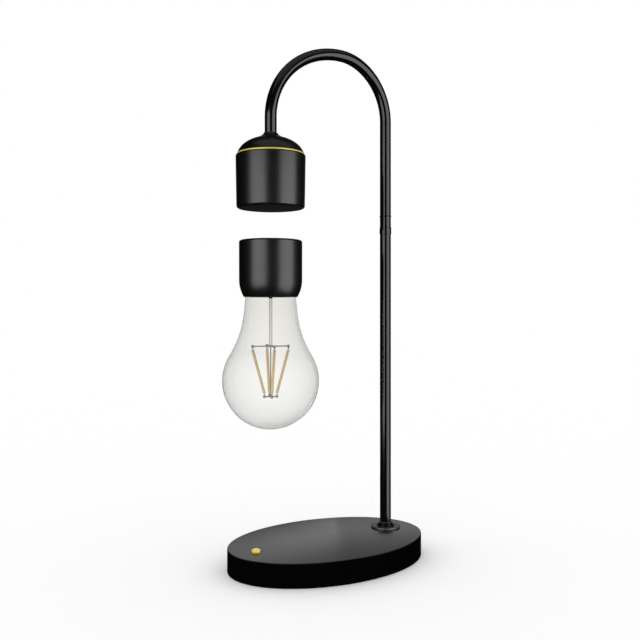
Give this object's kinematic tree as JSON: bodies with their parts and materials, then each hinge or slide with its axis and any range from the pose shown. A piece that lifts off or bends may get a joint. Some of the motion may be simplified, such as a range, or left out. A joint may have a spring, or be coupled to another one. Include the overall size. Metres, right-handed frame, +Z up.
{
  "type": "table lamp",
  "caption": "Table lamp with an oval base, an upright tube and a swan neck; a clear filament bulb floats in the air under its magnet head.",
  "frame": {"origin": "on the table, under the centre of the oval base, in the face of the non-slip pad", "axes": "+Z up; +X along the base's long axis, from the bulb towards the upright tube; +Y across"},
  "size_m": [0.1429, 0.0958, 0.3341],
  "materials": {
    "black_housing": "satin",
    "black_tube": "satin",
    "black_aluminium": "satin",
    "black_cap": "satin",
    "black_plastic": "matte",
    "black_rubber": "matte",
    "gold": "polished",
    "dark_nickel": "satin",
    "steel": "satin",
    "nickel": "polished",
    "copper": "satin",
    "ferrite": "matte",
    "circuit_board": "satin",
    "insulation": "satin",
    "clear_glass": "polished",
    "filament_coating": "matte"
  },
  "bodies": {
    "stand": {"base_shell": "black_housing", "bottom_plate": "steel", "non_slip_pad": "black_rubber", "insulating_sheet": "insulation", "main_board": "circuit_board", "dc_jack": "black_plastic", "jack_pin": "nickel", "plate_screw_1": "steel", "plate_screw_2": "steel", "plate_screw_3": "steel", "plate_screw_4": "steel", "switch_body": "black_plastic", "foot_flange": "dark_nickel", "foot_collar": "black_tube", "tube_washer": "steel", "tube_nut": "steel", "lower_tube": "black_tube", "tube_coupling": "black_tube", "gooseneck": "black_tube", "inner_cable": "black_rubber", "head_dome": "black_aluminium", "gold_ring": "gold", "head_shell": "black_aluminium", "head_face": "black_plastic", "head_nut": "steel", "power_coil": "copper", "ferrite_disc": "ferrite", "hall_sensor": "black_plastic", "coil_bobbin": "black_plastic", "control_coil": "copper", "magnet_core": "steel", "bias_magnet": "nickel", "head_board": "circuit_board"},
    "button": {"power_button": "gold", "switch_plunger": "black_plastic"},
    "magnet": {"disc_magnet": "nickel"},
    "bulb": {"bulb_cap": "black_cap", "receiver_coil": "copper", "rectifier_board": "circuit_board", "glass_envelope": "clear_glass", "glass_stem": "clear_glass", "stem_rod": "nickel", "top_cross": "nickel", "bottom_cross": "nickel", "lead_wire_1": "copper", "lead_wire_2": "copper", "filament_1": "filament_coating", "filament_2": "filament_coating", "filament_3": "filament_coating", "filament_4": "filament_coating"}
  },
  "joints": [
    {"name": "button_press", "type": "slide", "parent": "stand", "child": "button", "axis": [0, 0, -1], "range_m": [0, 0.0008], "stiffness_N_per_m": 1500},
    {"name": "bulb_float", "type": "slide", "parent": "stand", "child": "magnet", "axis": [0, 0, 1], "range_m": [-0.0735, 0.0193], "stiffness_N_per_m": 80, "springref_m": 0.00926},
    {"name": "bulb_spin", "type": "hinge", "parent": "magnet", "child": "bulb", "pos_m": [-0.04373, 0, 0.2], "axis": [0, 0, 1], "continuous": true}
  ]
}
